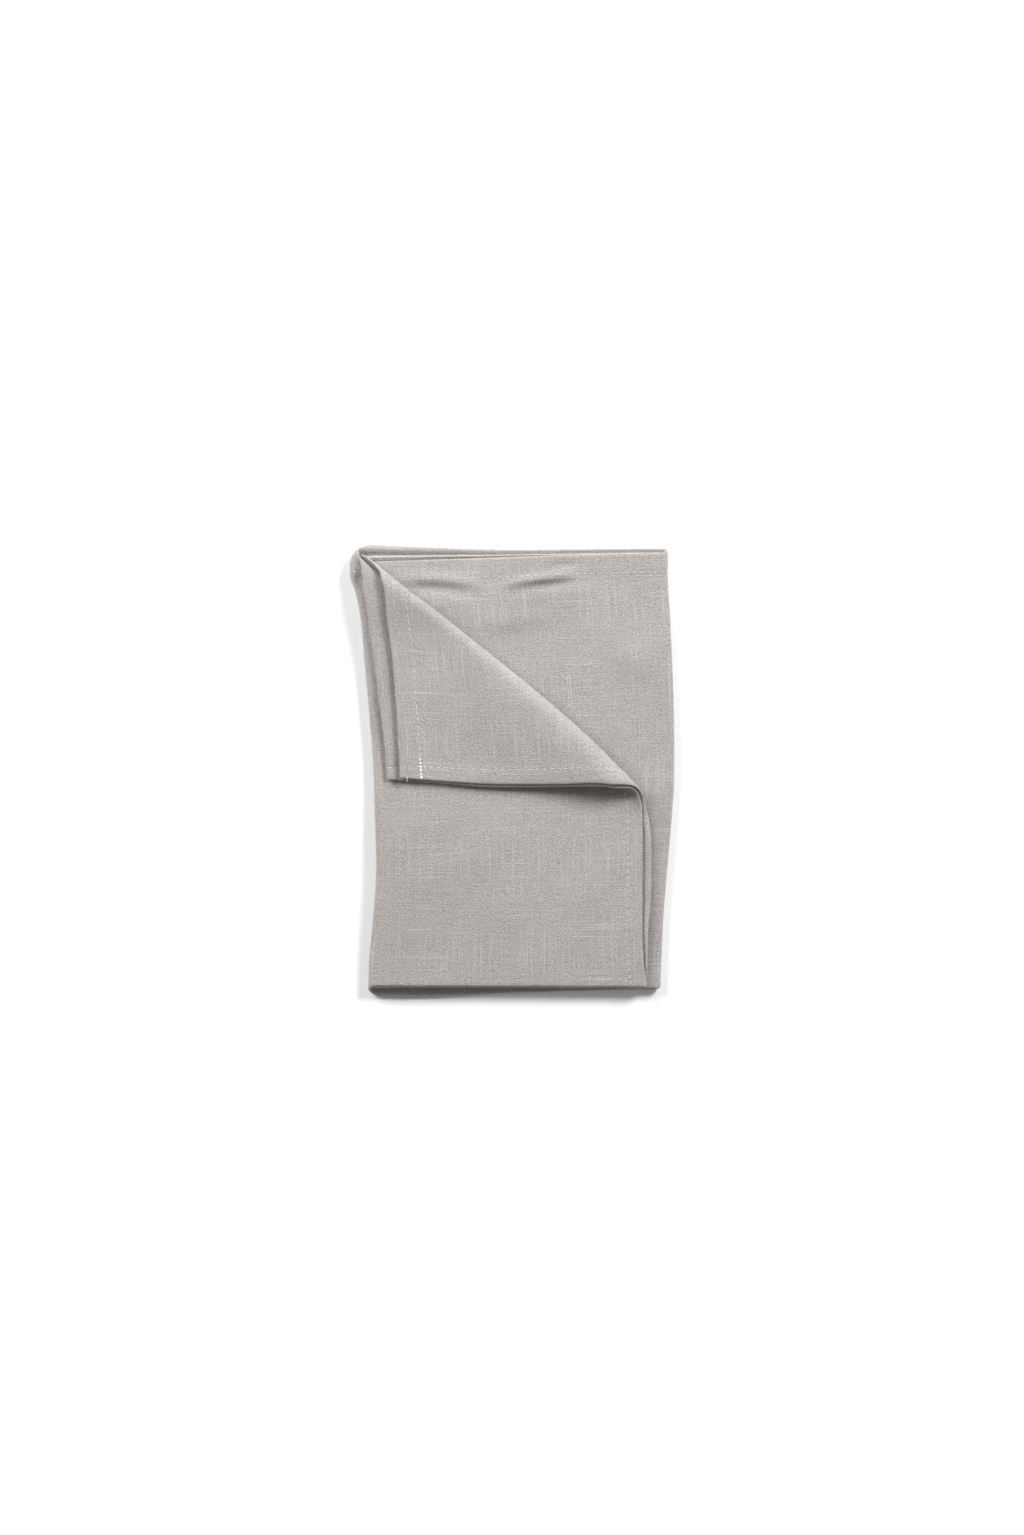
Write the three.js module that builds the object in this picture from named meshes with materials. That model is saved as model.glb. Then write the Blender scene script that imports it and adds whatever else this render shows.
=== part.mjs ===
// A folded cloth napkin, lying flat. One square hemmed sheet is folded in half, with that fold
// at the near end, and the double strip is then folded in three: the right third over the middle
// one, and the left third over both. The far corner of the top third is turned back over itself.
// Millimetres, +Z up. The origin is on the surface, under the middle of the folded napkin.

import * as THREE from 'three';

// Driving sizes of the cloth and its stack
const clothThickness = 1.0;
const layerPitch = 1.35; // one layer of cloth to the next
const panelPitch = 2 * layerPitch; // one third of the double strip to the next
const leftFoldReach = 4.2; // how far the loose left fold stands out from its thirds
const tuckedEdgeGap = 0.5; // the right third's free edge to the inside of the left fold

// Heights of the three thirds, each at the middle of its two layers
const halfSpread = (layerPitch + clothThickness) / 2;
const middleHeight = halfSpread;
const rightHeight = middleHeight + panelPitch;
const topHeight = rightHeight + panelPitch;

// The outer edges of the two side folds, from the near end to the far end
const outline = [
  { y: -114, leftFold: -72.2, rightFold: 74.2 },
  { y: -98, leftFold: -71.7, rightFold: 74.8 },
  { y: -75, leftFold: -69.6, rightFold: 75.9 },
  { y: -50, leftFold: -68.1, rightFold: 77.9 },
  { y: -25, leftFold: -68.7, rightFold: 80.1 },
  { y: 0, leftFold: -69.5, rightFold: 81.4 },
  { y: 24, leftFold: -71.3, rightFold: 81.2 },
  { y: 50, leftFold: -73.7, rightFold: 80.4 },
  { y: 76, leftFold: -76.1, rightFold: 79.2 },
  { y: 88, leftFold: -78.6, rightFold: 78.4 },
  { y: 96, leftFold: -81.2, rightFold: 78.1 },
  { y: 105, leftFold: -79.8, rightFold: 77.8 },
  { y: 112, leftFold: -75.6, rightFold: 77.5 },
];

// The ends of the strip, on the way from the right third's free edge round both side folds to
// the left third's free edge: leg is the leg's number and the share of it that is done. The half
// fold closes the near end, and the inner and the outer layer each have a hem at the far end.
const stripEnds = [
  { leg: 0, halfFold: -110.0, innerHem: 105.6, outerHem: 102.4 },
  { leg: 1, halfFold: -110.4, innerHem: 106.8, outerHem: 107.3 },
  { leg: 2, halfFold: -111.0, innerHem: 107.4, outerHem: 109.6 },
  { leg: 2.5, halfFold: -112.7, innerHem: 106.4, outerHem: 109.1 },
  { leg: 2.9, halfFold: -114.9, innerHem: 105.2, outerHem: 110.8 },
  { leg: 3, halfFold: -114.6, innerHem: 105.0, outerHem: 111.3 },
  { leg: 4, halfFold: -109.2, innerHem: 98.6, outerHem: 107.8 },
  { leg: 4.15, halfFold: -109.3, innerHem: 99.4, outerHem: 109.8 },
  { leg: 4.3, halfFold: -109.3, innerHem: 102.2, outerHem: 111.7 },
  { leg: 4.6, halfFold: -109.4, innerHem: 106.6, outerHem: 115.0 },
  { leg: 4.75, halfFold: -109.5, innerHem: 108.6, outerHem: 115.9 },
  { leg: 5, halfFold: -109.6, innerHem: 113.0, outerHem: 119.3 },
];

// The legs of the strip's way round, with the columns of faces that each one takes
const legs = [
  { name: 'right third', columns: 7 },
  { name: 'right fold', columns: 6 },
  { name: 'middle third', columns: 7 },
  { name: 'left fold', columns: 8 },
  { name: 'left third', columns: 15 },
];
const leftFoldLeg = 3;
const topLeg = 4;

// The top third's free edge on its two layers: straight up to the corner's roll, then drawn in
const freeEdge = [
  { y: -110, inner: 67.2, outer: 66.9 },
  { y: -96, inner: 67.6, outer: 65.6 },
  { y: -80, inner: 67.9, outer: 65.0 },
  { y: -60, inner: 69.4, outer: 65.0 },
  { y: -32, inner: 69.3, outer: 65.1 },
  { y: -6, inner: 66.0, outer: 64.6 },
  { y: 12, inner: 61.5, outer: 62.6 },
  { y: 32, inner: 59.9, outer: 61.2 },
  { y: 52, inner: 57.6, outer: 59.0 },
  { y: 75, inner: 53.6, outer: 55.1 },
  { y: 92, inner: 49.3, outer: 50.5 },
  { y: 120, inner: 41.0, outer: 42.3 },
];

// The corner is turned back along a line from the left fold's far end to the free edge, over a
// soft roll. inset is how far the roll starts before the line, reach its half width and lift its
// half height.
const turnStart = new THREE.Vector2(-76.5, 105.8);
const turnEnd = new THREE.Vector2(65.2, -12.6);
const roll = [
  { along: 0, inset: 1.0, reach: 1.5, lift: 1.5 },
  { along: 25, inset: 0.6, reach: 2.0, lift: 1.8 },
  { along: 50, inset: 0.5, reach: 3.4, lift: 2.6 },
  { along: 80, inset: 1.2, reach: 4.6, lift: 3.2 },
  { along: 116, inset: 1.9, reach: 5.8, lift: 3.8 },
  { along: 150, inset: 4.4, reach: 7.2, lift: 4.4 },
  { along: 175, inset: 8.2, reach: 8.2, lift: 4.8 },
  { along: 200, inset: 12.4, reach: 8.8, lift: 5.0 },
];
const cornerSettlesOver = 22; // how far behind the roll the turned corner comes to rest

// Soft swells where the upper thirds don't lie quite flat
const swells = [
  { x: -30, y: 84, across: 30, along: 10, rise: 1.1 },
  { x: 28, y: 88, across: 26, along: 9, rise: 0.8 },
  { x: -70, y: 92, across: 12, along: 16, rise: 1.2 },
  { x: 66, y: 30, across: 18, along: 40, rise: 0.9 },
  { x: -60, y: -64, across: 20, along: 34, rise: 0.8 },
  { x: 30, y: -78, across: 34, along: 24, rise: 0.6 },
];

// Steps of the mesh
const rowLength = 15.5;
const shortestRow = 0.6;
const rollSteps = 6;
const halfFoldSteps = 4;
const searchSteps = 30;

const turnWay = turnEnd.clone().sub(turnStart).normalize();
const turnOut = new THREE.Vector2(-turnWay.y, turnWay.x);

function mix(from, to, share) {
  return from + (to - from) * share;
}

// A smooth curve through one column of a table, read against its key column
function curve(rows, key, column, at) {
  const last = rows.length - 1;
  const place = THREE.MathUtils.clamp(at, rows[0][key], rows[last][key]);
  let start = 0;
  while (start < last - 1 && rows[start + 1][key] < place) {
    start += 1;
  }
  const slope = (row) => (rows[row + 1][column] - rows[row][column]) / (rows[row + 1][key] - rows[row][key]);
  const tangent = (row) => {
    if (row === 0 || row === last) {
      return slope(Math.min(row, last - 1));
    }
    return slope(row - 1) * slope(row) > 0 ? (slope(row - 1) + slope(row)) / 2 : 0;
  };
  const span = rows[start + 1][key] - rows[start][key];
  const t = (place - rows[start][key]) / span;
  const rise = rows[start + 1][column] - rows[start][column];
  const bend = tangent(start) * span * (1 - t) - tangent(start + 1) * span * t + rise * (2 * t - 1);
  return rows[start][column] + rise * t + t * (1 - t) * bend;
}

function swellAt(x, y) {
  let rise = 0;
  for (const swell of swells) {
    const across = (x - swell.x) / swell.across;
    const along = (y - swell.y) / swell.along;
    rise += swell.rise * Math.exp(-across * across - along * along);
  }
  return rise;
}

function rightFoldCentre(y) {
  return curve(outline, 'y', 'rightFold', y) - halfSpread - panelPitch / 2;
}

function leftFoldCentre(y) {
  return curve(outline, 'y', 'leftFold', y) + halfSpread + leftFoldReach;
}

function tuckedEdge(y) {
  return curve(outline, 'y', 'leftFold', y) + 2 * halfSpread + tuckedEdgeGap;
}

// side is -1 on the inner layer, 1 on the outer one and between them round the half fold
function freeEdgeAt(y, side) {
  return mix(curve(freeEdge, 'y', 'inner', y), curve(freeEdge, 'y', 'outer', y), (1 + side) / 2);
}

// A half turn between two heights, from the angle given, with the outward direction there
function foldPoint(centre, reach, lowHeight, highHeight, angle) {
  const halfHeight = (highHeight - lowHeight) / 2;
  const out = new THREE.Vector2(Math.cos(angle) / reach, Math.sin(angle) / halfHeight).normalize();
  return {
    x: centre + reach * Math.cos(angle),
    z: lowHeight + halfHeight + halfHeight * Math.sin(angle),
    out,
  };
}

// The strip's midline across the napkin: its place at one height y and the way its outer side faces
function stripPoint(leg, y, side) {
  const index = Math.min(Math.floor(leg), topLeg);
  const share = leg - index;
  const right = rightFoldCentre(y);
  const left = leftFoldCentre(y);
  const upwards = new THREE.Vector2(0, 1);
  if (index === 0) {
    const x = mix(tuckedEdge(y), right, share);
    return { x, z: rightHeight + swellAt(x, y), out: upwards };
  }
  if (index === 1) {
    const high = rightHeight + swellAt(right, y);
    return foldPoint(right, panelPitch / 2, middleHeight, high, Math.PI * (0.5 - share));
  }
  if (index === 2) {
    return { x: mix(right, left, share), z: middleHeight, out: upwards.negate() };
  }
  if (index === leftFoldLeg) {
    const high = topHeight + swellAt(left, y);
    return foldPoint(left, leftFoldReach, middleHeight, high, -Math.PI * (0.5 + share));
  }
  return { x: mix(left, freeEdgeAt(y, side), share), z: topHeight, out: upwards };
}

// Where a point of the top third lies against the roll: how far past its start, and how far round
function turnOf(leg, x, y) {
  const grip = THREE.MathUtils.smoothstep(leg, leftFoldLeg + 0.5, topLeg);
  const from = new THREE.Vector2(x, y).sub(turnStart);
  const along = from.dot(turnWay);
  const past = grip * (from.dot(turnOut) + curve(roll, 'along', 'inset', along));
  const reach = curve(roll, 'along', 'reach', along);
  const lift = curve(roll, 'along', 'lift', along);
  const length = (Math.PI * (reach + lift)) / 2;
  return { past, reach, lift, angle: (Math.PI * past) / length, behind: Math.max(0, past - length) };
}

// Rolls a point past the start of the roll up and back over the top third, where it settles
function turnCorner(leg, point, rise) {
  const { past, reach, lift, angle: turned, behind } = turnOf(leg, point.x, point.y);
  const ownSwell = leg < topLeg ? 0 : 1;
  if (past <= 0) {
    return new THREE.Vector3(point.x, point.y, point.z + ownSwell * swellAt(point.x, point.y));
  }
  const angle = Math.min(turned, Math.PI);
  const settled = (behind * behind) / (behind * behind + cornerSettlesOver * cornerSettlesOver);
  const drop = (2 * lift - panelPitch) * settled;
  const move = (reach - rise) * Math.sin(angle) - behind - past;
  const x = point.x + turnOut.x * move;
  const y = point.y + turnOut.y * move;
  const height = lift - (lift - rise) * Math.cos(angle) - drop;
  return new THREE.Vector3(x, y, point.z - rise + height + ownSwell * swellAt(x, y));
}

// One point of the cloth: offset is its distance from the strip's midline, towards the outer side
function clothPoint(leg, y, side, offset) {
  const strip = stripPoint(leg, y, side);
  const point = new THREE.Vector3(strip.x + strip.out.x * offset, y, strip.z + strip.out.y * offset);
  if (leg <= leftFoldLeg + 0.5) {
    return point;
  }
  const planeHeight = leg < topLeg ? topHeight + swellAt(strip.x, y) : topHeight;
  return turnCorner(leg, point, point.z - planeHeight);
}

function turnAngle(leg, y, side) {
  return turnOf(leg, stripPoint(leg, y, side).x, y).angle;
}

// The height y at which a column reaches an angle of the turned corner's roll
function heightAtTurn(leg, side, angle, low, high) {
  let below = low;
  let above = high;
  for (let step = 0; step < searchSteps; step += 1) {
    const middle = (below + above) / 2;
    if (turnAngle(leg, middle, side) < angle) {
      below = middle;
    } else {
      above = middle;
    }
  }
  return (below + above) / 2;
}

function evenRows(from, to, firstRow, lastRow) {
  const steps = Math.max(1, Math.round((to - from) / rowLength));
  const rows = [];
  for (let step = 1; step <= steps; step += 1) {
    rows.push({ row: mix(firstRow, lastRow, step / steps), y: mix(from, to, step / steps) });
  }
  return rows;
}

// The rows of one layer in one column, from the half fold to the hem
function layerRows(leg, side, from) {
  const to = curve(stripEnds, 'leg', side < 0 ? 'innerHem' : 'outerHem', leg);
  if (leg <= leftFoldLeg + 0.5 || turnAngle(leg, to, side) <= 0) {
    return evenRows(from, to, 0, 1);
  }
  const turnsAt = heightAtTurn(leg, side, 0, from, to);
  const rows = evenRows(from, turnsAt, 0, 1);
  for (let step = 1; step <= rollSteps; step += 1) {
    const angle = (Math.PI * step) / rollSteps;
    const y = heightAtTurn(leg, side, angle, from, to);
    if (to - y > shortestRow) {
      rows.push({ row: 1 + step / rollSteps, y });
    }
  }
  const last = rows[rows.length - 1];
  return rows.concat(evenRows(last.y, to, last.row, Math.max(last.row + 0.1, 3 * (last.row >= 2))));
}

// One column of the cloth, from the inner layer's hem round the half fold to the outer one's
function clothColumn(leg) {
  const from = curve(stripEnds, 'leg', 'halfFold', leg) + halfSpread;
  const inner = layerRows(leg, -1, from).map(({ row, y }) => ({ row: -row, y, side: -1, bulge: 0 }));
  const outer = layerRows(leg, 1, from).map(({ row, y }) => ({ row, y, side: 1, bulge: 0 }));
  const round = [];
  for (let step = 0; step <= halfFoldSteps; step += 1) {
    const angle = Math.PI * (step / halfFoldSteps - 0.5);
    round.push({ row: angle / 1000, y: from, side: Math.sin(angle), bulge: Math.cos(angle) });
  }
  const profile = inner.reverse().concat(round, outer);
  const face = (distance) => profile.map(({ row, y, side, bulge }) => ({
    row,
    point: clothPoint(leg, y - bulge * distance, side, side * distance),
  }));
  return {
    outside: face((layerPitch + clothThickness) / 2),
    inside: face((layerPitch - clothThickness) / 2),
  };
}

function clothColumns() {
  const columns = [];
  legs.forEach(({ columns: count }, index) => {
    for (let step = index === 0 ? 0 : 1; step <= count; step += 1) {
      columns.push(clothColumn(index + step / count));
    }
  });
  return columns;
}

// Triangles between two neighbouring columns, which may have different numbers of rows
function zipColumns(first, second, addTriangle) {
  let i = 0;
  let j = 0;
  while (i < first.length - 1 || j < second.length - 1) {
    const firstNext = i < first.length - 1 ? first[i + 1].row : Infinity;
    const secondNext = j < second.length - 1 ? second[j + 1].row : Infinity;
    if (firstNext <= secondNext) {
      addTriangle(first[i], first[i + 1], second[j]);
      i += 1;
    } else {
      addTriangle(first[i], second[j + 1], second[j]);
      j += 1;
    }
  }
}

function clothGeometry() {
  const columns = clothColumns();
  const corners = [];
  const add = (a, b, c) => corners.push(c.point, b.point, a.point);
  const addTurned = (a, b, c) => add(a, c, b);
  const addQuad = (a, b, c, d) => {
    add(a, b, c);
    add(a, c, d);
  };
  for (let index = 1; index < columns.length; index += 1) {
    const before = columns[index - 1];
    const here = columns[index];
    zipColumns(before.outside, here.outside, add);
    zipColumns(before.inside, here.inside, addTurned);
    addQuad(before.outside[0], here.outside[0], here.inside[0], before.inside[0]);
    addQuad(before.inside.at(-1), here.inside.at(-1), here.outside.at(-1), before.outside.at(-1));
  }
  closeFreeEdge(columns[0], addQuad, false);
  closeFreeEdge(columns.at(-1), addQuad, true);
  const geometry = new THREE.BufferGeometry().setFromPoints(corners);
  geometry.computeVertexNormals();
  return geometry;
}

function closeFreeEdge({ outside, inside }, addQuad, isLast) {
  for (let row = 1; row < outside.length; row += 1) {
    if (isLast) {
      addQuad(outside[row - 1], outside[row], inside[row], inside[row - 1]);
    } else {
      addQuad(outside[row], outside[row - 1], inside[row - 1], inside[row]);
    }
  }
}

function clothMaterial() {
  return new THREE.MeshStandardMaterial({ color: 0xc3bdb7, roughness: 0.95, metalness: 0 });
}

function napkin() {
  const geometry = clothGeometry();
  geometry.computeBoundingBox();
  const centre = geometry.boundingBox.getCenter(new THREE.Vector3());
  const mesh = new THREE.Mesh(geometry, clothMaterial());
  mesh.name = 'napkin';
  mesh.position.set(-centre.x, -centre.y, -geometry.boundingBox.min.z);
  return mesh;
}

const foldedNapkin = new THREE.Group();
foldedNapkin.add(napkin());

export default foldedNapkin;
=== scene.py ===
import math

import bpy
import numpy as np
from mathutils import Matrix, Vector


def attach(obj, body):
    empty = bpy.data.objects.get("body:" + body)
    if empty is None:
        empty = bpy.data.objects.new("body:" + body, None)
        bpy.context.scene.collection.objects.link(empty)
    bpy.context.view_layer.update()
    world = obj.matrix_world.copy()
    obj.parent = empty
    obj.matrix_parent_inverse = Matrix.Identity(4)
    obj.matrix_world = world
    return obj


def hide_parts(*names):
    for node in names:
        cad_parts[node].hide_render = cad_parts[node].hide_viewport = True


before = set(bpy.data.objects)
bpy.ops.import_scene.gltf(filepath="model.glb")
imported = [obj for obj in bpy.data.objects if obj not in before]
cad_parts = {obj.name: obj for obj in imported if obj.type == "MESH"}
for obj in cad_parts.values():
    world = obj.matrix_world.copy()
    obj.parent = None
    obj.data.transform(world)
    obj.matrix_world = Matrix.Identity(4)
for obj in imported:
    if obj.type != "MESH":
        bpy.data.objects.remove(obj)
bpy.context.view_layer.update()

metre = 0.001  # one millimetre; the folding is worked out in millimetres, as the cloth is cut

# how the cloth is cut and sewn
cloth = {
    "thickness": 0.56,
    "hemThickness": 1.2,
    "length": 445.0,  # from hem to hem across the half fold
    "endHem": 10.0,  # stitch line to edge, on the edges beyond the half fold
    "sideHem": 7.6,
    "rung": 1.25,  # the finest step of the mesh along the cloth
    "puckerLength": 8.3,
    "puckerHeight": 0.06,
    "puckerReach": 3.0,  # how far a seam's pucker spreads to each side
    "stitchDepth": 0.2,
    "stitchReach": 0.9,
    "edgeRound": 1.1,
    "hemFadeFrom": 0.4,  # past its stitch line a hem thins down to the single cloth
    "hemFadeTo": 1.8,
}

# how the strip of two layers is stacked
stack = {
    "layerPitch": 1.35,
    "panelPitch": 2.70,
    "halfSpread": 1.175,
    "leftFoldReach": 4.2,
    "tuckedEdgeGap": 0.5,
    "middleX": 0.274,  # the middle of the outline below
    "middleY": -1.774,
}
middleHeight = stack["halfSpread"]
rightHeight = middleHeight + stack["panelPitch"]
topHeight = rightHeight + stack["panelPitch"]

outline = [
    {"y": -114, "leftFold": -72.2, "rightFold": 74.2},
    {"y": -98, "leftFold": -71.7, "rightFold": 74.8},
    {"y": -75, "leftFold": -69.6, "rightFold": 75.9},
    {"y": -50, "leftFold": -68.1, "rightFold": 77.9},
    {"y": -25, "leftFold": -68.7, "rightFold": 80.1},
    {"y": 0, "leftFold": -69.5, "rightFold": 81.4},
    {"y": 24, "leftFold": -71.3, "rightFold": 81.2},
    {"y": 50, "leftFold": -73.7, "rightFold": 80.4},
    {"y": 76, "leftFold": -76.1, "rightFold": 79.2},
    {"y": 88, "leftFold": -78.6, "rightFold": 78.4},
    {"y": 96, "leftFold": -81.2, "rightFold": 78.1},
    {"y": 105, "leftFold": -79.8, "rightFold": 77.8},
    {"y": 112, "leftFold": -75.6, "rightFold": 77.5},
]

stripEnds = [
    {"leg": 0, "halfFold": -110.0, "innerHem": 105.6, "outerHem": 102.4},
    {"leg": 1, "halfFold": -110.4, "innerHem": 106.8, "outerHem": 107.3},
    {"leg": 2, "halfFold": -111.0, "innerHem": 107.4, "outerHem": 109.6},
    {"leg": 2.5, "halfFold": -112.7, "innerHem": 106.4, "outerHem": 109.1},
    {"leg": 2.9, "halfFold": -114.9, "innerHem": 105.2, "outerHem": 110.8},
    {"leg": 3, "halfFold": -114.6, "innerHem": 105.0, "outerHem": 111.3},
    {"leg": 4, "halfFold": -109.2, "innerHem": 105.4, "outerHem": 106.9},
    {"leg": 4.05, "halfFold": -109.2, "innerHem": 102.6, "outerHem": 107.2},
    {"leg": 4.1, "halfFold": -109.2, "innerHem": 99.6, "outerHem": 107.5},
    {"leg": 4.15, "halfFold": -109.3, "innerHem": 98.5, "outerHem": 108.0},
    {"leg": 4.3, "halfFold": -109.3, "innerHem": 101.2, "outerHem": 110.3},
    {"leg": 4.6, "halfFold": -109.4, "innerHem": 106.1, "outerHem": 114.6},
    {"leg": 4.75, "halfFold": -109.5, "innerHem": 108.6, "outerHem": 115.9},
    {"leg": 5, "halfFold": -109.6, "innerHem": 113.0, "outerHem": 119.3},
]

# the strip's way round: right third, right fold, middle third, left fold, left third on top
legs = [
    {"length": 146.0, "columnStep": 2.4},
    {"length": 4.2, "columnStep": 0.36},
    {"length": 145.0, "columnStep": 3.6},
    {"length": 11.0, "columnStep": 0.62},
    {"length": 133.0, "columnStep": 1.6},
]
legStarts = np.concatenate([[0.0], np.cumsum([leg["length"] for leg in legs])])
clothWidth = legStarts[-1]
topLeg = 4

# the top third's free edge, on each layer: straight up to the roll, then drawn in to the corner
freeEdge = [
    {"y": -110, "inner": 67.2, "outer": 66.9},
    {"y": -96, "inner": 67.6, "outer": 65.6},
    {"y": -80, "inner": 67.9, "outer": 65.0},
    {"y": -60, "inner": 69.4, "outer": 65.0},
    {"y": -36, "inner": 69.4, "outer": 65.1},
    {"y": -29, "inner": 68.4, "outer": 65.0},
    {"y": -20, "inner": 65.6, "outer": 64.4},
    {"y": -11, "inner": 64.4, "outer": 63.6},
    {"y": -1, "inner": 63.2, "outer": 63.9},
    {"y": 12, "inner": 61.0, "outer": 62.4},
    {"y": 32, "inner": 59.9, "outer": 61.2},
    {"y": 52, "inner": 57.6, "outer": 59.0},
    {"y": 75, "inner": 53.6, "outer": 55.1},
    {"y": 92, "inner": 49.3, "outer": 50.5},
    {"y": 120, "inner": 41.0, "outer": 42.3},
]

# the line that the top third's corner is turned back along, and its soft roll: inset is how far
# before the line it starts, reach its half width, lift its half height, and gape how far its upper
# layer stands off the lower one
corner = {
    "start": Vector((-76.5, 105.8)),
    "end": Vector((65.2, -12.6)),
    "settlesOver": 22.0,  # how soon behind the roll it lies down
    "gapeOver": 8.0,  # how soon behind the roll the gape closes
    "innerLift": 1.5,  # how far the turned corner's end hems stand up, on each layer
    "outerLift": 0.5,
    "liftOver": 8.0,
    "liftFrom": (4.08, 4.3),  # the legs where that sets in
    "gripLeg": 3.5,  # the turn takes hold from half way round the left fold
}
roll = [
    {"along": 0, "inset": 2.2, "reach": 2.1, "lift": 2.0, "gape": 1.8},
    {"along": 12, "inset": 2.7, "reach": 2.4, "lift": 2.4, "gape": 2.6},
    {"along": 26, "inset": 2.0, "reach": 2.6, "lift": 2.5, "gape": 1.4},
    {"along": 50, "inset": 0.8, "reach": 3.4, "lift": 2.6, "gape": 0.3},
    {"along": 80, "inset": 1.2, "reach": 4.6, "lift": 3.2, "gape": 0.0},
    {"along": 116, "inset": 1.9, "reach": 5.8, "lift": 3.8, "gape": 0.0},
    {"along": 150, "inset": 4.4, "reach": 7.2, "lift": 4.4, "gape": 0.2},
    {"along": 175, "inset": 8.2, "reach": 8.2, "lift": 4.8, "gape": 0.6},
    {"along": 200, "inset": 12.4, "reach": 8.8, "lift": 5.0, "gape": 0.8},
]
turnWay = (corner["end"] - corner["start"]).normalized()
turnOut = Vector((-turnWay.y, turnWay.x))

# where the upper thirds don't lie quite flat
swells = [
    {"x": -30, "y": 84, "across": 30, "along": 10, "rise": 1.1},
    {"x": 28, "y": 88, "across": 26, "along": 9, "rise": 0.8},
    {"x": -70, "y": 92, "across": 12, "along": 16, "rise": 1.2},
    {"x": 66, "y": 30, "across": 18, "along": 40, "rise": 0.9},
    {"x": -60, "y": -64, "across": 20, "along": 34, "rise": 0.8},
    {"x": 30, "y": -78, "across": 34, "along": 24, "rise": 0.6},
]

# how the hems curl where they show past the one above
curl = {
    "outerSlope": 0.30,
    "innerSlope": 0.55,
    "highest": 1.6,
    "middle": 0.36,
    "width": 0.30,
    "edgeRise": 0.6,  # along the top third's free edge
    "edgeMiddle": 0.8,
    "edgeWidth": 1.6,
    "edgeFrom": (-108.0, -96.0),  # the y where that edge's curl sets in and where it ends
    "edgeTo": (-34.0, -16.0),
}

# creases on the upper faces: a soft ridge or trough from one point to another, bowed by so much,
# and the shares of its length over which each one fades in and out
creaseEnds = {"in": (-0.05, 0.35), "out": (0.55, 1.0)}
creases = [
    {"on": "top", "from": (-77.2, 97.0), "to": (-75.0, 86.0), "width": 2.2, "rise": -1.3, "bow": 0.6},
    {"on": "top", "from": (-60.0, -112.0), "to": (-60.0, 14.0), "width": 24.0, "rise": 1.5, "bow": 0.0},
    {"on": "top", "from": (-50.0, -40.0), "to": (50.0, -52.0), "width": 22.0, "rise": 0.5, "bow": 5.0},
    {"on": "right", "from": (-6.0, 86.5), "to": (37.0, 92.5), "width": 1.6, "rise": -1.3, "bow": 1.5},
    {"on": "right", "from": (-8.0, 89.8), "to": (38.0, 95.8), "width": 2.4, "rise": 1.5, "bow": 1.5},
    {"on": "right", "from": (-56.0, 89.0), "to": (-12.0, 84.5), "width": 2.6, "rise": -1.3, "bow": 2.0},
    {"on": "right", "from": (-58.0, 93.5), "to": (-8.0, 89.5), "width": 3.2, "rise": 1.2, "bow": 2.0},
    {"on": "right", "from": (20.0, 100.5), "to": (36.0, 101.5), "width": 1.3, "rise": -0.8, "bow": 0.5},
    {"on": "right", "from": (-30.0, 72.0), "to": (30.0, 78.0), "width": 5.0, "rise": 0.8, "bow": -2.0},
    {"on": "right", "from": (48.0, 58.0), "to": (74.0, 52.0), "width": 7.0, "rise": 0.8, "bow": -2.0},
    {"on": "corner", "from": (-40.0, 22.0), "to": (20.0, 18.0), "width": 16.0, "rise": 0.6, "bow": 3.0},
]


def alongTable(rows, key, column, at):
    # a smooth curve through one column of a table, read against its key column
    keys = np.array([row[key] for row in rows], float)
    values = np.array([row[column] for row in rows], float)
    slopes = np.diff(values) / np.diff(keys)
    inner = np.where(slopes[:-1] * slopes[1:] > 0, (slopes[:-1] + slopes[1:]) / 2, 0.0)
    tangents = np.concatenate([slopes[:1], inner, slopes[-1:]])
    place = np.clip(at, keys[0], keys[-1])
    start = np.clip(np.searchsorted(keys, place, side="left") - 1, 0, len(keys) - 2)
    span = keys[start + 1] - keys[start]
    t = (place - keys[start]) / span
    rise = values[start + 1] - values[start]
    bend = tangents[start] * span * (1 - t) - tangents[start + 1] * span * t + rise * (2 * t - 1)
    return values[start] + rise * t + t * (1 - t) * bend


def smoothStep(value, low, high):
    t = np.clip((value - low) / (high - low), 0.0, 1.0)
    return t * t * (3 - 2 * t)


def swellAt(x, y):
    rise = np.zeros_like(x)
    for swell in swells:
        across = (x - swell["x"]) / swell["across"]
        along = (y - swell["y"]) / swell["along"]
        rise = rise + swell["rise"] * np.exp(-across * across - along * along)
    return rise


def creaseAt(x, y, place):
    rise = np.zeros_like(x)
    for crease in creases:
        if crease["on"] != place:
            continue
        start, end = Vector(crease["from"]), Vector(crease["to"])
        way = end - start
        along = ((x - start.x) * way.x + (y - start.y) * way.y) / way.length_squared
        out = ((y - start.y) * way.x - (x - start.x) * way.y) / way.length
        out = out - crease["bow"] * 4 * along * (1 - along)
        fade = smoothStep(along, *creaseEnds["in"]) * (1 - smoothStep(along, *creaseEnds["out"]))
        rise = rise + crease["rise"] * fade * np.exp(-((out / crease["width"]) ** 2))
    return rise


def curlAt(shown, distance, slope):
    # the curl of a hem that reaches past the one above it: higher where more of it shows
    shown = np.clip(shown, 0.1, None)
    rise = np.clip(shown * slope, 0, curl["highest"])
    return rise * np.exp(-(((distance - curl["middle"] * shown) / (curl["width"] * shown)) ** 2))


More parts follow.
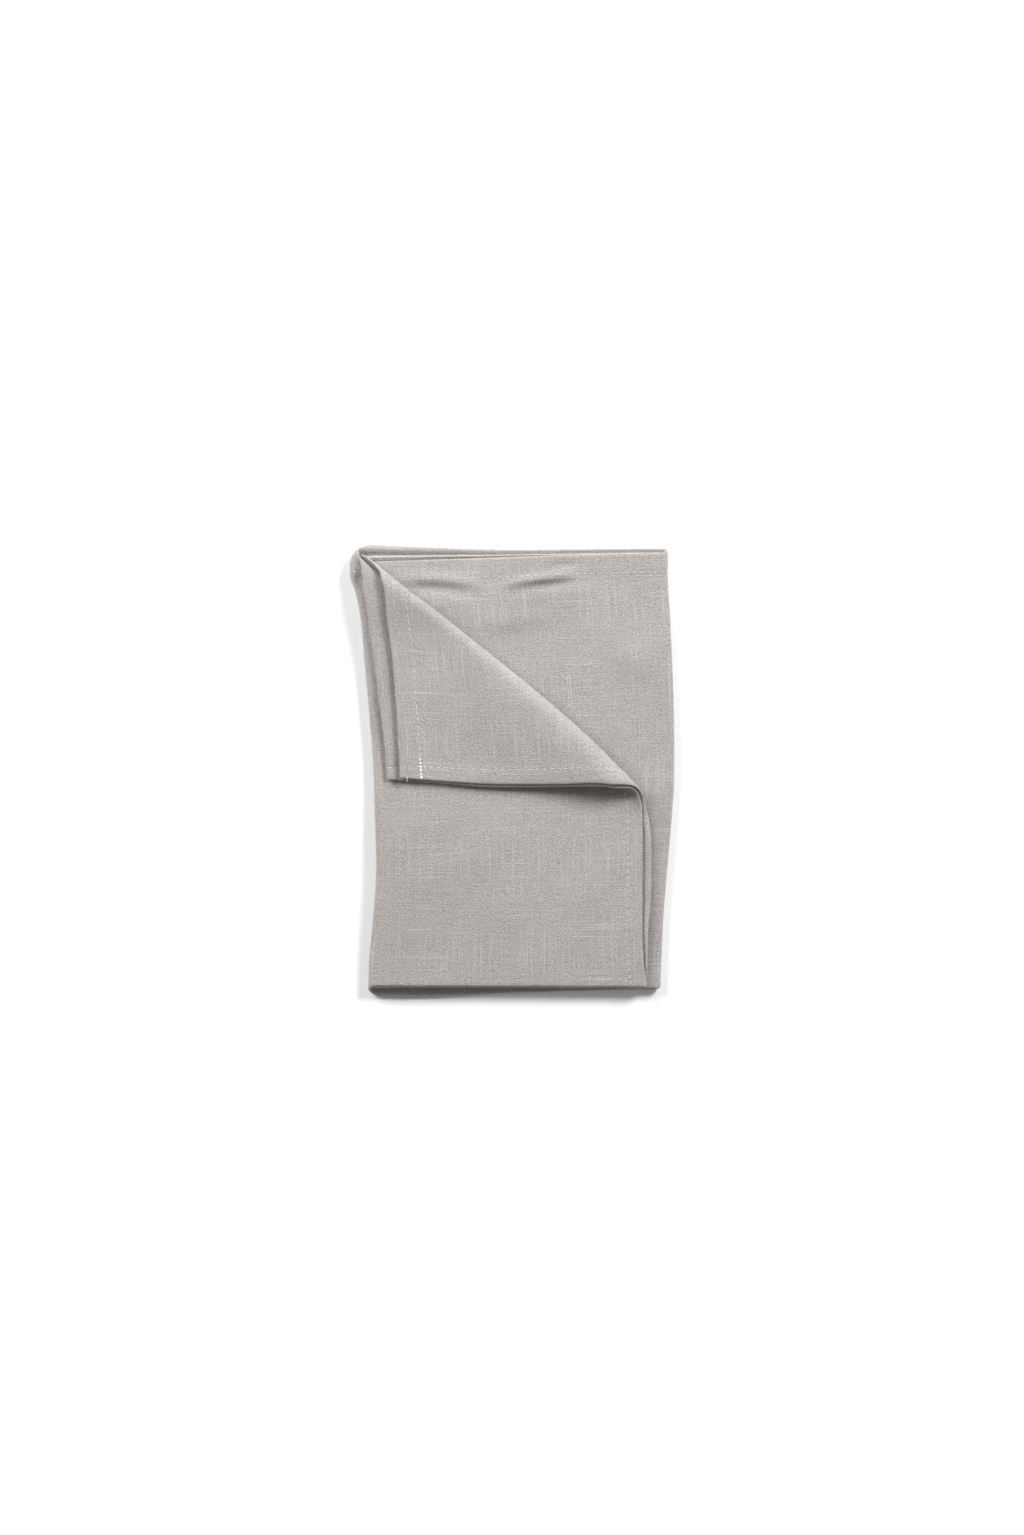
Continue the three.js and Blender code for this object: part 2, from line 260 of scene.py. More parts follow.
def hemCurl(leg, y, fromEnd, fromSide, inner):
    reach = alongTable(stripEnds, "leg", "outerHem", leg) - alongTable(stripEnds, "leg", "innerHem", leg)
    farShown = np.where(inner, -reach * (leg < 1), reach * ((leg > 1.5) & (leg < 3.4)))
    farCurl = curlAt(farShown, fromEnd, np.where(inner, curl["innerSlope"], curl["outerSlope"]))
    sideShown = alongTable(freeEdge, "y", "inner", y) - alongTable(freeEdge, "y", "outer", y)
    edgeCurl = curl["edgeRise"] * np.exp(-(((fromSide - curl["edgeMiddle"]) / curl["edgeWidth"]) ** 2))
    sideCurl = np.where(inner, curlAt(sideShown, fromSide, curl["innerSlope"]), edgeCurl)
    straight = smoothStep(y, *curl["edgeFrom"]) * (1 - smoothStep(y, *curl["edgeTo"]))
    cornerLift = np.where(inner, corner["innerLift"], corner["outerLift"])
    cornerLift = cornerLift * smoothStep(leg, *corner["liftFrom"])
    cornerLift = cornerLift * np.exp(-((fromEnd / corner["liftOver"]) ** 2))
    return farCurl + sideCurl * straight * (leg > topLeg) + cornerLift


def rightFoldCentre(y):
    return alongTable(outline, "y", "rightFold", y) - stack["halfSpread"] - stack["panelPitch"] / 2


def leftFoldCentre(y):
    return alongTable(outline, "y", "leftFold", y) + stack["halfSpread"] + stack["leftFoldReach"]


def tuckedEdge(y):
    return alongTable(outline, "y", "leftFold", y) + 2 * stack["halfSpread"] + stack["tuckedEdgeGap"]


def freeEdgeAt(y, side):
    inner, outer = (alongTable(freeEdge, "y", layer, y) for layer in ("inner", "outer"))
    return inner + (outer - inner) * (1 + side) / 2


def foldPlace(centre, reach, low, high, angle):
    # a half turn from one height to another, and the way its outer side faces
    half = (high - low) / 2
    outX, outZ = np.cos(angle) / reach, np.sin(angle) / half
    size = np.hypot(outX, outZ)
    return centre + reach * np.cos(angle), low + half + half * np.sin(angle), outX / size, outZ / size


def stripPlace(leg, y, side):
    index = np.minimum(np.floor(leg), topLeg).astype(int)
    share = leg - index
    right, left = rightFoldCentre(y), leftFoldCentre(y)
    one, none = np.ones_like(y), np.zeros_like(y)
    inX = tuckedEdge(y) * (1 - share) + right * share
    places = [
        (inX, rightHeight + swellAt(inX, y), none, one),
        foldPlace(right, stack["panelPitch"] / 2, middleHeight, rightHeight + swellAt(right, y),
                  math.pi * (0.5 - share)),
        (right * (1 - share) + left * share, middleHeight * one, none, -one),
        foldPlace(left, stack["leftFoldReach"], middleHeight, topHeight + swellAt(left, y),
                  -math.pi * (0.5 + share)),
        (left * (1 - share) + freeEdgeAt(y, side) * share, topHeight * one, none, one),
    ]
    return [np.choose(index, [place[part] for place in places]) for part in range(4)]


def turnOf(leg, x, y):
    # how far a point lies past the start of the roll, and the roll's size and length there
    grip = smoothStep(leg, corner["gripLeg"], topLeg)
    fromX, fromY = x - corner["start"].x, y - corner["start"].y
    along = fromX * turnWay.x + fromY * turnWay.y
    columns = ("inset", "reach", "lift", "gape")
    inset, reach, lift, gape = (alongTable(roll, "along", column, along) for column in columns)
    past = grip * (fromX * turnOut.x + fromY * turnOut.y + inset)
    return past, reach, lift, math.pi * (reach + lift) / 2, gape


def clothPlace(leg, y, side, offset):
    # one point of the cloth in millimetres: offset is its distance from the strip's midline
    stripX, stripZ, outX, outZ = stripPlace(leg, y, side)
    x, z = stripX + outX * offset, stripZ + outZ * offset
    plane = topHeight + np.where(leg < topLeg, swellAt(stripX, y), 0.0)
    rise = z - plane
    past, reach, lift, length, gape = turnOf(leg, x, y)
    angle = math.pi * np.minimum(past / length, 1.0)
    behind = np.maximum(0, past - length)
    settled = behind ** 2 / (behind ** 2 + corner["settlesOver"] ** 2)
    drop = (2 * lift - stack["panelPitch"]) * settled
    near = corner["gapeOver"] ** 2 / (behind ** 2 + corner["gapeOver"] ** 2)
    rise = rise - gape * near * np.sin(angle / 2) ** 2 * np.maximum(0, -side)
    move = (reach - rise) * np.sin(angle) - behind - past
    turned = (leg > corner["gripLeg"]) & (past > 0)
    newX = np.where(turned, x + turnOut.x * move, x)
    newY = np.where(turned, y + turnOut.y * move, y)
    newZ = np.where(turned, plane + lift - (lift - rise) * np.cos(angle) - drop, z)
    newZ = newZ + np.where(leg >= topLeg, swellAt(newX, newY), 0.0)
    ripple = np.where(leg < 1, creaseAt(newX, newY, "right"), 0.0)
    flat = (leg > corner["gripLeg"]) & (past <= 0)
    ripple = ripple + np.where(flat, creaseAt(newX, newY, "top"), 0.0)
    laid = (leg >= topLeg) & (behind > 0)
    ripple = ripple + np.where(laid, creaseAt(newX, newY, "corner") * settled, 0.0)
    newZ = np.maximum(newZ + ripple, 0.0)
    return np.stack([newX - stack["middleX"], newY - stack["middleY"], newZ], axis=-1) * metre


def clothPoint(u, v, face):
    # u runs across the cloth from the tucked free edge, v along it from the half fold; the inner
    # layer has v below zero. face is 1 on the cloth's right side, -1 on its wrong side.
    half = cloth["length"] / 2
    leg = np.interp(u, legStarts, np.arange(len(legStarts)))
    roundRadius = stack["layerPitch"] / 2
    roundLength = roundRadius * math.pi / 2
    angle = np.clip(v / roundRadius, -math.pi / 2, math.pi / 2)
    side = np.sin(angle)
    nearEnd = alongTable(stripEnds, "leg", "halfFold", leg) + stack["halfSpread"]
    hem = np.where(
        v < 0,
        alongTable(stripEnds, "leg", "innerHem", leg),
        alongTable(stripEnds, "leg", "outerHem", leg),
    )
    straight = np.maximum(0, np.abs(v) - roundLength) / (half - roundLength)
    distance = roundRadius + face * clothHalf(u, v)
    y = nearEnd + straight * (hem - nearEnd) - np.cos(angle) * distance
    place = clothPlace(leg, y, side, side * distance)
    place[..., 2] += hemCurl(leg, y, half - np.abs(v), clothWidth - u, v < 0) * metre
    return place


def clothHalf(u, v):
    # half of the cloth's thickness: fuller in the hems, pinched at their stitches, round at the edge
    fromEnd = cloth["length"] / 2 - np.abs(v)
    fromSide = np.minimum(u, clothWidth - u)
    thin, thick = cloth["thickness"] / 2, cloth["hemThickness"] / 2
    fadeFrom, fadeTo = cloth["hemFadeFrom"], cloth["hemFadeTo"]
    endHem = 1 - smoothStep(fromEnd, cloth["endHem"] + fadeFrom, cloth["endHem"] + fadeTo)
    sideHem = 1 - smoothStep(fromSide, cloth["sideHem"] + fadeFrom, cloth["sideHem"] + fadeTo)
    body = thin + (thick - thin) * np.maximum(endHem, sideHem)
    wave = 2 * math.pi / cloth["puckerLength"]
    for gap, place in ((fromEnd - cloth["endHem"], u), (fromSide - cloth["sideHem"], v)):
        body = body - cloth["stitchDepth"] * np.exp(-((gap / cloth["stitchReach"]) ** 2))
        ripple = np.sin(place * wave + 2 * np.sin(place * wave / 3.7))
        body = body + cloth["puckerHeight"] * ripple * np.exp(-((gap / cloth["puckerReach"]) ** 2))
    edge = np.minimum(fromEnd, fromSide)
    roundness = np.sqrt(np.clip(1 - (1 - np.clip(edge / cloth["edgeRound"], 0, 1)) ** 2, 0.015, 1))
    return body * roundness


# how fine the mesh is, in millimetres or in rungs
grid = {
    "sideHem": [0.0, 0.12, 0.35, 0.7, 1.4, 2.8, 4.4, 6.0, 7.0, 7.6, 8.2, 9.2],
    "endEdge": [0.12, 0.35, 0.7],
    "hemRungs": 12,
    "plainStep": 4,  # rungs from one row to the next where nothing much shows
    "shownStep": 2,
    "rolledStep": 1,
    "rollFrom": -2.5,
    "rollTo": 3.0,
    "leftFoldFrom": 3.2,  # the legs that show, and how far behind the turned corner's line they do
    "rightFoldTo": 2,
    "besideLine": -12,
    "halfFoldRows": 9,
}


def columnPlaces():
    # the u of every column, closer together in the folds and in the two side hems
    edge = grid["sideHem"]
    places = list(edge)
    for index, leg in enumerate(legs):
        start, end = legStarts[index], legStarts[index + 1]
        count = round(leg["length"] / leg["columnStep"])
        places.extend(np.linspace(start, end, count + 1)[1:])
    inside = [u for u in places[len(edge):] if edge[-1] + 1 < u < clothWidth - edge[-1] - 1]
    return np.array(edge + inside + [clothWidth - u for u in reversed(edge)])


def rowPlaces(u):
    # the v of every row of one column, from the inner layer's hem to the outer one's
    leg = float(np.interp(u, legStarts, np.arange(len(legStarts))))
    half = cloth["length"] / 2
    rungs = int(half / cloth["rung"])
    rows = []
    for side in (-1, 1):
        v = side * (half - cloth["rung"] * np.arange(rungs))
        many = np.full_like(v, leg)
        nearEnd = alongTable(stripEnds, "leg", "halfFold", many)
        hem = alongTable(stripEnds, "leg", "innerHem" if side < 0 else "outerHem", many)
        y = nearEnd + np.abs(v) / half * (hem - nearEnd)
        stripX = stripPlace(many, y, np.full_like(v, float(side)))[0]
        past, _, _, length, _ = turnOf(many, stripX, y)
        lineGap = (stripX - corner["start"].x) * turnOut.x + (y - corner["start"].y) * turnOut.y
        step = np.full(rungs, grid["plainStep"])
        if leg >= grid["leftFoldFrom"]:
            rolled = (past > grid["rollFrom"]) & (past < length + grid["rollTo"])
            shown = past <= 0 if side > 0 else past > 0
            step = np.where(shown, grid["shownStep"], step)
            step = np.where(rolled, grid["rolledStep"], step)
        elif leg <= grid["rightFoldTo"] and side > 0:
            step = np.where(lineGap > grid["besideLine"], grid["shownStep"], step)
        index = np.arange(rungs)
        keep = (index % step == 0) | (index < grid["hemRungs"])
        edge = side * (half - np.array(grid["endEdge"]))
        rows.extend(v[keep])
        rows.extend(edge)
    roundLength = stack["layerPitch"] * math.pi / 4
    rows.extend(np.linspace(-roundLength, roundLength, grid["halfFoldRows"]))
    return np.array(sorted(rows))


def zipColumns(first, second, rowsA, rowsB, faces):
    # triangles between two neighbouring columns of rows that don't all match
    i = j = 0
    while i < len(rowsA) - 1 or j < len(rowsB) - 1:
        nextA = rowsA[i + 1] if i < len(rowsA) - 1 else math.inf
        nextB = rowsB[j + 1] if j < len(rowsB) - 1 else math.inf
        if nextA == nextB:
            faces.append((first + i, first + i + 1, second + j + 1, second + j))
            i += 1
            j += 1
        elif nextA < nextB:
            faces.append((first + i, first + i + 1, second + j))
            i += 1
        else:
            faces.append((first + i, second + j + 1, second + j))
            j += 1


def buildCloth():
    columns = columnPlaces()
    rows = [rowPlaces(u) for u in columns]
    starts = np.concatenate([[0], np.cumsum([len(r) for r in rows])])
    u = np.concatenate([np.full(len(r), place) for place, r in zip(columns, rows)])
    v = np.concatenate(rows)
    outside, inside = clothPoint(u, v, 1), clothPoint(u, v, -1)
    sheetFaces = []
    for index in range(len(columns) - 1):
        zipColumns(starts[index], starts[index + 1], rows[index], rows[index + 1], sheetFaces)
    count = len(u)
    faces = [tuple(reversed(face)) for face in sheetFaces]
    faces.extend(tuple(point + count for point in face) for face in sheetFaces)
    rim = []
    for index in range(len(columns) - 1):
        rim.append((starts[index], starts[index + 1]))
        rim.append((starts[index + 2] - 1, starts[index + 1] - 1))
    for row in range(len(rows[0]) - 1):
        rim.append((starts[0] + row + 1, starts[0] + row))
    for row in range(len(rows[-1]) - 1):
        rim.append((starts[-2] + row, starts[-2] + row + 1))
    faces.extend((a + count, b + count, b, a) for a, b in rim)
    mesh = bpy.data.meshes.new("napkinCloth")
    mesh.from_pydata(np.concatenate([outside, inside]).tolist(), [], faces)
    uvs = np.tile(np.stack([u, v], axis=-1) * metre, (2, 1))
    corners = np.empty(len(mesh.loops), dtype=int)
    mesh.loops.foreach_get("vertex_index", corners)
    layer = mesh.uv_layers.new(name="cloth")
    layer.uv.foreach_set("vector", uvs[corners].ravel())
    mesh.shade_smooth()
    mesh.validate()
    piece = bpy.data.objects.new("napkinCloth", mesh)
    bpy.context.scene.collection.objects.link(piece)
    return piece


# the sewing thread, in millimetres
thread = {
    "pitch": 3.5,
    "stitch": 2.4,
    "width": 0.38,
    "sunk": 0.06,
    "tackPitch": 1.7,
    "tackStitch": 1.9,
    "tackWidth": 0.62,
    "tackFrom": 1.2,
    "tackTo": 11.5,
    "tackRows": (-0.25, 0.3),
    "tackPoints": 14,
    "startShare": 0.2,  # of a side hem, where a seam across the cloth begins
    "overrun": 8.0,  # how far a side seam runs on past the end seams
    "acrossPoints": 520,
    "alongPoints": 560,
    "leastSize": (0.82, 0.85, 0.85),
    "mostSize": (1.06, 1.10, 1.05),
    "segments": 8,
    "rings": 5,
    "endSides": 7,
    "endPlace": (0.4, 3.3),  # from the side hem's edge and from the end hem's
    "endPath": [(0, 0.6, 0.1), (0.1, -0.2, 0.35), (-0.1, -0.9, 0.2), (0.25, -1.5, -0.2), (0.1, -2.1, -0.6)],
    "seed": 7,
    "darkColour": (0.43, 0.408, 0.392, 1),
    "lightColour": (0.68, 0.66, 0.635, 1),
}


def seamLines():
    # both faces of the four hems' stitch lines, as places on the cloth
    end = cloth["length"] / 2 - cloth["endHem"]
    side = cloth["sideHem"]
    gap, over = side * thread["startShare"], thread["overrun"]
    across = np.linspace(gap, clothWidth - gap, thread["acrossPoints"])
    along = np.linspace(-end - over, end + over, thread["alongPoints"])
    lines = []
    for face in (-1, 1):
        lines.append((across, np.full_like(across, -end), face))
        lines.append((across, np.full_like(across, end), face))
        lines.append((np.full_like(along, side), along, face))
        lines.append((np.full_like(along, clothWidth - side), along, face))
    return lines


def tackLines():
    end = cloth["length"] / 2 - cloth["endHem"]
    across = clothWidth - np.linspace(thread["tackFrom"], thread["tackTo"], thread["tackPoints"])
    return [(across, np.full_like(across, -end + shift), 1) for shift in thread["tackRows"]]


def lineMesh(name, lines):
    points, edges = [], []
    for u, v, face in lines:
        surface = clothPoint(u, v, face)
        other = clothPoint(u, v, -face)
        out = (surface - other) / np.linalg.norm(surface - other, axis=1, keepdims=True)
        places = surface + out * thread["sunk"] * metre
        places[:, 2] = np.maximum(places[:, 2], thread["width"] / 2 * metre)
        edges.extend((len(points) + step, len(points) + step + 1) for step in range(len(places) - 1))
        points.extend(places.tolist())
    mesh = bpy.data.meshes.new(name)
    mesh.from_pydata(points, edges, [])
    piece = bpy.data.objects.new(name, mesh)
    bpy.context.scene.collection.objects.link(piece)
    return piece


def buildThreadEnd(material):
    # the loose end of the sewing thread at the turned corner's near hem
    fromSide, fromEnd = thread["endPlace"]
    start = clothPoint(np.array([clothWidth - fromSide]), np.array([fromEnd - cloth["length"] / 2]), 1)[0]
    steps = np.array(thread["endPath"])
    sides = thread["endSides"]
    points, faces = [], []
    for place in start + steps * metre:
        for around in range(sides):
            angle = 2 * math.pi * around / sides
            out = np.array([math.cos(angle), 0.0, math.sin(angle)]) * thread["width"] / 2 * metre
            points.append((place + out).tolist())
    for ring in range(len(steps) - 1):
        for around in range(sides):
            a, b = ring * sides + around, ring * sides + (around + 1) % sides
            faces.append((a, b, b + sides, a + sides))
    last = (len(steps) - 1) * sides
    faces.append(tuple(range(sides - 1, -1, -1)))
    faces.append(tuple(range(last, last + sides)))
    mesh = bpy.data.meshes.new("threadEnd")
    mesh.from_pydata(points, [], faces)
    mesh.shade_smooth()
    mesh.materials.append(material)
    piece = bpy.data.objects.new("threadEnd", mesh)
    bpy.context.scene.collection.objects.link(piece)
    return piece


def stitchTree(material):
    # one stitch at every pitch along each line, lying the way the line goes
    tree = bpy.data.node_groups.new("stitches", "GeometryNodeTree")
    face = tree.interface
    face.new_socket("Lines", in_out="INPUT", socket_type="NodeSocketGeometry")
    for name in ("Pitch", "Stitch", "Width"):
        face.new_socket(name, in_out="INPUT", socket_type="NodeSocketFloat")
    face.new_socket("Seed", in_out="INPUT", socket_type="NodeSocketInt")
    face.new_socket("Thread", in_out="OUTPUT", socket_type="NodeSocketGeometry")

    def node(kind, **settings):
        made = tree.nodes.new(kind)
        for name, value in settings.items():
            setattr(made, name, value)
        return made

    def join(source, output, target, entry):
        tree.links.new(source.outputs[output], target.inputs[entry])

    given, result = node("NodeGroupInput"), node("NodeGroupOutput")
    curve = node("GeometryNodeMeshToCurve")
    join(given, "Lines", curve, "Mesh")
    spaced = node("GeometryNodeResampleCurve", mode="LENGTH")
    join(curve, "Curve", spaced, "Curve")
    join(given, "Pitch", spaced, "Length")
    tangent = node("GeometryNodeInputTangent")
    turn = node("FunctionNodeAlignRotationToVector", axis="X")
    join(tangent, "Tangent", turn, "Vector")
    size = node("ShaderNodeCombineXYZ")
    join(given, "Stitch", size, "X")
    join(given, "Width", size, "Y")
    join(given, "Width", size, "Z")
    uneven = node("FunctionNodeRandomValue", data_type="FLOAT_VECTOR")
    uneven.inputs["Min"].default_value = thread["leastSize"]
    uneven.inputs["Max"].default_value = thread["mostSize"]
    join(given, "Seed", uneven, "Seed")
    scaled = node("ShaderNodeVectorMath", operation="MULTIPLY")
    join(size, "Vector", scaled, 0)
    join(uneven, "Value", scaled, 1)
    stitch = node("GeometryNodeMeshUVSphere")
    stitch.inputs["Segments"].default_value = thread["segments"]
    stitch.inputs["Rings"].default_value = thread["rings"]
    stitch.inputs["Radius"].default_value = 0.5
    placed = node("GeometryNodeInstanceOnPoints")
    join(spaced, "Curve", placed, "Points")
    join(stitch, "Mesh", placed, "Instance")
    join(turn, "Rotation", placed, "Rotation")
    join(scaled, "Vector", placed, "Scale")
    smooth = node("GeometryNodeSetShadeSmooth")
    real = node("GeometryNodeRealizeInstances")
    coloured = node("GeometryNodeSetMaterial")
    coloured.inputs["Material"].default_value = material
    join(placed, "Instances", real, "Geometry")
    join(real, "Geometry", smooth, "Geometry")
    join(smooth, "Geometry", coloured, "Geometry")
    join(coloured, "Geometry", result, "Thread")
    return tree


def sew(name, lines, tree, sizes):
    # turns the lines into a plain mesh of stitches
    piece = lineMesh(name, lines)
    sewing = piece.modifiers.new("stitches", "NODES")
    sewing.node_group = tree
    for item in tree.interface.items_tree:
        if item.name in sizes:
            sewing[item.identifier] = sizes[item.name]
    seen = piece.evaluated_get(bpy.context.evaluated_depsgraph_get())
    made = bpy.data.meshes.new_from_object(seen)
    piece.modifiers.remove(sewing)
    piece.data = made
    return piece


class Wire:
    # a node's output; sums and products of wires and numbers add Math nodes
    def __init__(self, kit, socket):
        self.kit = kit
        self.socket = socket

    def __add__(self, other):
        return self.kit.math("ADD", self, other)

    __radd__ = __add__

    def __sub__(self, other):
        return self.kit.math("SUBTRACT", self, other)

    def __rsub__(self, other):
        return self.kit.math("SUBTRACT", other, self)

    def __mul__(self, other):
        return self.kit.math("MULTIPLY", self, other)

    __rmul__ = __mul__


class MaterialKit:
    def __init__(self, name):
        self.material = bpy.data.materials.new(name)
        self.material.use_nodes = True
        self.tree = self.material.node_tree
        self.shader = self.tree.nodes["Principled BSDF"]

    def node(self, kind, settings, values, output=0):
        # adds a node, sets it up and gives back one of its outputs
        node = self.tree.nodes.new(kind)
        for name, value in settings.items():
            setattr(node, name, value)
        for name, value in values.items():
            self.set(node.inputs[name], value)
        return Wire(self, node.outputs[output])

    def set(self, socket, value):
        if isinstance(value, Wire):
            self.tree.links.new(value.socket, socket)
        else:
            socket.default_value = value

    def math(self, operation, a, b):
        return self.node("ShaderNodeMath", {"operation": operation}, {0: a, 1: b})

    def finish(self, values):
        for name, value in values.items():
            self.set(self.shader.inputs[name], value)
        return self.material


# the weave, in metres on the cloth
weave = {
    # darkColour is painted shade: the crinkles' valleys are darkened towards it; colour and lightColour are
    # the cloth's own
    "darkColour": (0.190, 0.175, 0.167, 1.0),
    "colour": (0.440, 0.413, 0.398, 1.0),
    "lightColour": (0.60, 0.575, 0.56, 1.0),
    "crinkleWidth": 0.00044,
    "crinkleLength": 0.0015,
    "crinkleTurn": math.radians(42),
    "patch": 0.0040,
    "grain": 0.00065,
    "threadWidth": 0.00055,
    "threadLength": 0.012,
    "slubWidth": 0.00050,
    "slubLength": 0.045,
    "bumpHeight": 0.00026,
    "cloud": (0.045, 0.03),
    "strengthPatch": (0.011, 0.007),  # where the crinkle is strong, and by how much
    "strengthLeast": 0.35,
    "strengthMore": 0.35,
    "slubUpFrom": 0.685,  # the noise above this shows as a slub
    "slubAcrossFrom": 0.69,
    "slubFull": 0.83,
    "slubShare": 0.24,
    "roughness": 0.93,
}


def streaks(kit, uv, turn, length, width, detail, place):
    # noise drawn out along one direction of the cloth
    settings = {"vector_type": "TEXTURE"}
    values = {"Vector": uv, "Location": place, "Rotation": (0, 0, turn), "Scale": (length, width, 1.0)}
    drawn = kit.node("ShaderNodeMapping", settings, values)
    noise = {"Vector": drawn, "Scale": 1.0, "Detail": detail, "Roughness": 0.55}
    return kit.node("ShaderNodeTexNoise", {"noise_dimensions": "2D"}, noise)


def sharpen(kit, wire, low, high):
    settings = {"interpolation_type": "SMOOTHSTEP"}
    return kit.node("ShaderNodeMapRange", settings, {"Value": wire, "From Min": low, "From Max": high})


def clothMaterial():
    kit = MaterialKit("slubCloth")
    uv = kit.node("ShaderNodeUVMap", {"uv_map": "cloth"}, {})
    length, width, turn = weave["crinkleLength"], weave["crinkleWidth"], weave["crinkleTurn"]
    rising = streaks(kit, uv, turn, length, width, 2.0, (0.11, 0.07, 0))
    falling = streaks(kit, uv, -turn, length, width, 2.0, (0.53, 0.31, 0))
    patch = streaks(kit, uv, 0.3, weave["patch"], weave["patch"], 1.0, (0.9, 0.2, 0))
    patch = sharpen(kit, patch, 0.46, 0.54)
    crinkle = sharpen(kit, rising * patch + falling * (1 - patch), 0.27, 0.73)
    grain = streaks(kit, uv, 0.2, weave["grain"], weave["grain"], 2.0, (0.4, 0.6, 0))
    grain = sharpen(kit, grain, 0.25, 0.75)
    strength = streaks(kit, uv, 0.9, *weave["strengthPatch"], 1.0, (0.6, 0.4, 0))
    strength = sharpen(kit, strength, 0.30, 0.70) * weave["strengthMore"] + weave["strengthLeast"]
    crinkle = crinkle * strength + grain * (1 - strength)
    fine = weave["threadLength"], weave["threadWidth"]
    warp = streaks(kit, uv, math.pi / 2, *fine, 1.0, (0.37, 0.81, 0))
    weft = streaks(kit, uv, 0.0, *fine, 1.0, (0.21, 0.67, 0))
    threads = (warp + weft) * 0.5
    slubUp = streaks(kit, uv, math.pi / 2, weave["slubLength"], weave["slubWidth"], 0.0, (0.71, 0.13, 0))
    slubAcross = streaks(kit, uv, 0.0, weave["slubLength"], weave["slubWidth"], 0.0, (0.17, 0.47, 0))
    slubUp = sharpen(kit, slubUp, weave["slubUpFrom"], weave["slubFull"])
    slubAcross = sharpen(kit, slubAcross, weave["slubAcrossFrom"], weave["slubFull"])
    slubs = kit.math("MAXIMUM", slubUp, slubAcross)
    cloudy = streaks(kit, uv, 0.6, *weave["cloud"], 2.0, (0.3, 0.3, 0))
    height = crinkle * 0.8 + threads * 0.25 + slubs * 0.25
    # the colour is painted darker where the crinkles sink, as painted shade in their valleys; the threads
    # and the cloud add the cloth's own uneven tone
    shade = crinkle * 0.6 + threads * 0.4 + cloudy * 0.2
    mixed = {"data_type": "RGBA"}
    paintedShadeAndTone = {0: sharpen(kit, shade, 0.10, 1.10), 6: weave["darkColour"], 7: weave["colour"]}
    paintedShadeAndTone = kit.node("ShaderNodeMix", mixed, paintedShadeAndTone, 2)
    colour = {0: slubs * weave["slubShare"], 6: paintedShadeAndTone, 7: weave["lightColour"]}
    colour = kit.node("ShaderNodeMix", mixed, colour, 2)
    relief = {"Strength": 1.0, "Distance": weave["bumpHeight"], "Height": height}
    bump = kit.node("ShaderNodeBump", {}, relief)
    return kit.finish({
        "Base Color": colour,
        "Roughness": weave["roughness"] - slubs * 0.05,
        "Normal": bump,
        "Specular IOR Level": 0.25,
        "Sheen Weight": 0.55,
        "Sheen Roughness": 0.45,
    })


def threadMaterial():
    kit = MaterialKit("sewingThread")
    place = kit.node("ShaderNodeTexCoord", {}, {}, "Object")
    fibres = kit.node("ShaderNodeTexNoise", {}, {"Vector": place, "Scale": 2600.0, "Detail": 2.0})
    patchy = kit.node("ShaderNodeTexNoise", {}, {"Vector": place, "Scale": 60.0, "Detail": 1.0})
    mixed = {"data_type": "RGBA"}
    shade = sharpen(kit, fibres * 0.6 + patchy * 0.4, 0.35, 0.65)
    colours = {0: shade, 6: thread["darkColour"], 7: thread["lightColour"]}
    colour = kit.node("ShaderNodeMix", mixed, colours, 2)
    bump = kit.node("ShaderNodeBump", {}, {"Strength": 0.6, "Distance": 0.0001, "Height": fibres})
    return kit.finish({
        "Base Color": colour,
        "Roughness": 0.8,
        "Normal": bump,
        "Specular IOR Level": 0.3,
    })


def buildFloor():
    mesh = bpy.data.meshes.new("floor")
    reach = 3.0
    square = [(-reach, -reach, 0), (reach, -reach, 0), (reach, reach, 0), (-reach, reach, 0)]
    mesh.from_pydata(square, [], [(0, 1, 2, 3)])
    floor = bpy.data.objects.new("floor", mesh)
    bpy.context.scene.collection.objects.link(floor)
    kit = MaterialKit("paleFloor")
    mesh.materials.append(kit.finish({"Base Color": (0.86, 0.86, 0.86, 1), "Roughness": 0.9}))


light = {
    "keyPlace": Vector((1.25, 1.20, 1.12)),
    "keySize": 0.75,
    "keyPower": 56.0,
    "fillPlace": Vector((-1.2, 1.05, 0.85)),
    "fillSize": 1.1,
    "fillPower": 41.0,
    "sky": 0.30,
}


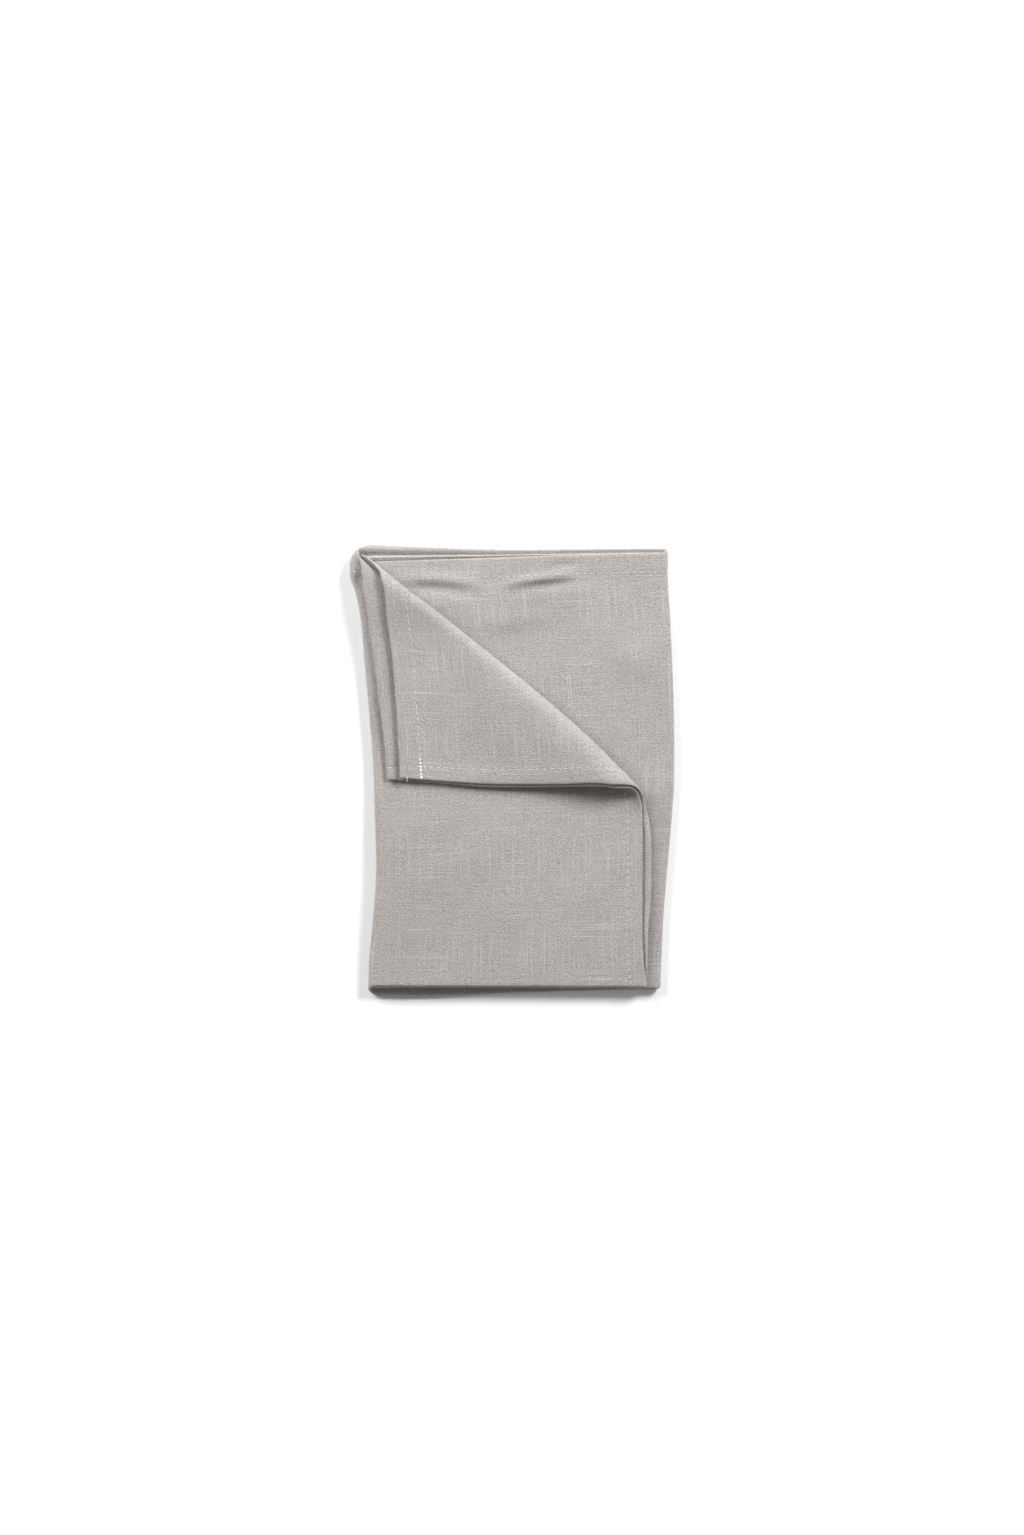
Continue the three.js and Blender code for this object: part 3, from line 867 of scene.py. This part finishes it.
def addLight(name, place, size, power):
    data = bpy.data.lights.new(name, "AREA")
    data.shape = "DISK"
    data.size = size
    data.energy = power
    lamp = bpy.data.objects.new(name, data)
    lamp.location = place
    lamp.rotation_euler = (-place).to_track_quat("-Z", "Y").to_euler()
    bpy.context.scene.collection.objects.link(lamp)


def buildStudio():
    addLight("keyLight", light["keyPlace"], light["keySize"], light["keyPower"])
    addLight("fillLight", light["fillPlace"], light["fillSize"], light["fillPower"])
    world = bpy.data.worlds.new("studio")
    world.use_nodes = True
    world.node_tree.nodes["Background"].inputs["Color"].default_value = (1, 1, 1, 1)
    world.node_tree.nodes["Background"].inputs["Strength"].default_value = light["sky"]
    bpy.context.scene.world = world
    bpy.context.scene.view_settings.view_transform = "Standard"


def buildCamera():
    photo = {"pixel": 0.5, "width": 1024, "height": 1535, "lens": 100.0, "sensor": 36.0}
    data = bpy.data.cameras.new("camera")
    data.lens = photo["lens"]
    data.sensor_width = photo["sensor"]
    distance = photo["height"] * photo["pixel"] * photo["lens"] / photo["sensor"]
    camera = bpy.data.objects.new("camera", data)
    camera.location = Vector((-stack["middleX"], -stack["middleY"], distance)) * metre
    bpy.context.scene.collection.objects.link(camera)
    bpy.context.scene.camera = camera


buildCamera()
print("camera placed")

napkinCloth = buildCloth()
napkinCloth.data.materials.append(clothMaterial())
print("cloth folded:", len(napkinCloth.data.polygons), "faces")

offWhite = threadMaterial()
stitches = stitchTree(offWhite)
hemThread = sew("hemThread", seamLines(), stitches, {
    "Pitch": thread["pitch"] * metre,
    "Stitch": thread["stitch"] * metre,
    "Width": thread["width"] * metre,
    "Seed": thread["seed"],
})
tackThread = sew("tackThread", tackLines(), stitches, {
    "Pitch": thread["tackPitch"] * metre,
    "Stitch": thread["tackStitch"] * metre,
    "Width": thread["tackWidth"] * metre,
    "Seed": thread["seed"] + 1,
})
threadEnd = buildThreadEnd(offWhite)
print("hems sewn:", len(hemThread.data.polygons) + len(tackThread.data.polygons), "faces")

for piece, place in ((napkinCloth, "cloth"), (hemThread, "thread"), (tackThread, "thread"),
                     (threadEnd, "thread")):
    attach(piece, "root")
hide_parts("napkin")

buildFloor()
buildStudio()
print("studio lit")
